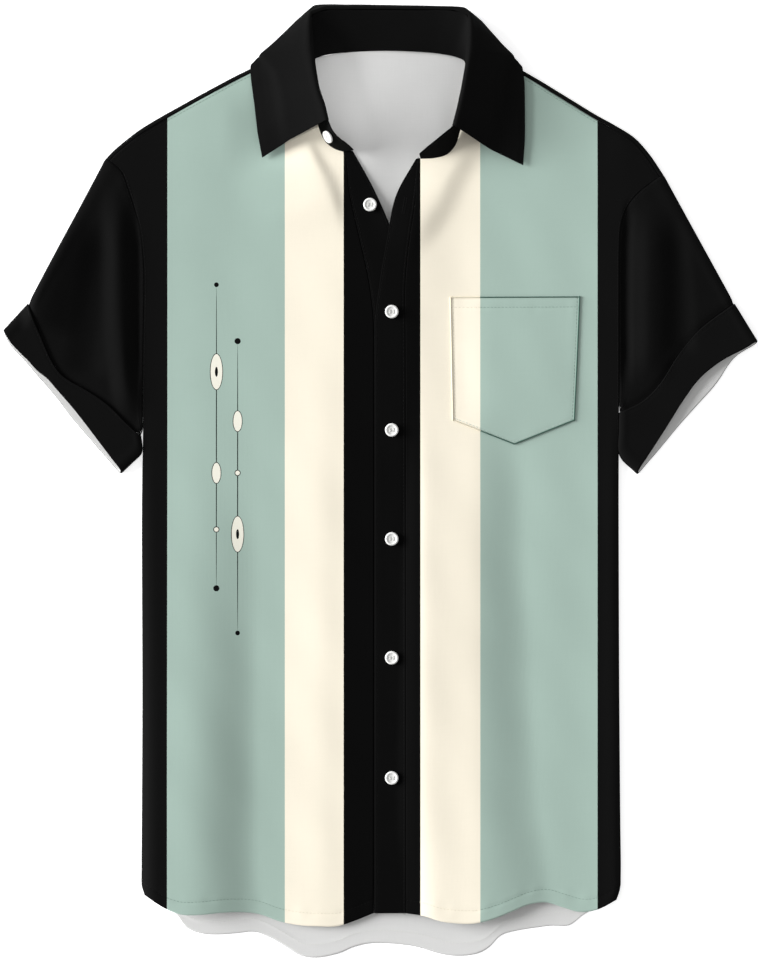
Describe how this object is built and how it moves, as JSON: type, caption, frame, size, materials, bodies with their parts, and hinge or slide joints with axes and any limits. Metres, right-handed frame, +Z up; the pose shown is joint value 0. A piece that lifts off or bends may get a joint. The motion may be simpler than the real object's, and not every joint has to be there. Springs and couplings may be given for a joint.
{
  "type": "short-sleeved shirt",
  "caption": "Short-sleeved button-up shirt in vertical colour bands, with a turned-down collar, chest pocket and turned-up cuffs, laid flat on its back.",
  "frame": {"origin": "bottom centre of the box, on the surface that the shirt lies on", "axes": "+Z up from the surface, +Y from hem to collar, +X to the wearer's left"},
  "size_m": [0.6411, 0.8118, 0.03],
  "materials": {
    "cloth_banded": "matte smooth shirting in black, mint and cream bands",
    "cloth_black": "matte smooth black shirting",
    "button_white": "glossy off-white"
  },
  "bodies": {
    "root": {"front_right": "cloth_banded", "front_left": "cloth_banded", "pocket": "cloth_banded", "back": "cloth_black", "placket_top": "cloth_black", "placket_under": "cloth_black", "sleeve_right": "cloth_black", "sleeve_left": "cloth_black", "cuff_right": "cloth_black", "cuff_left": "cloth_black", "collar_stand": "cloth_black", "collar_leaf": "cloth_black", "button_1": "button_white", "button_2": "button_white", "button_3": "button_white", "button_4": "button_white", "button_5": "button_white", "button_neck": "button_white", "button_stand": "button_white"}
  },
  "joints": []
}
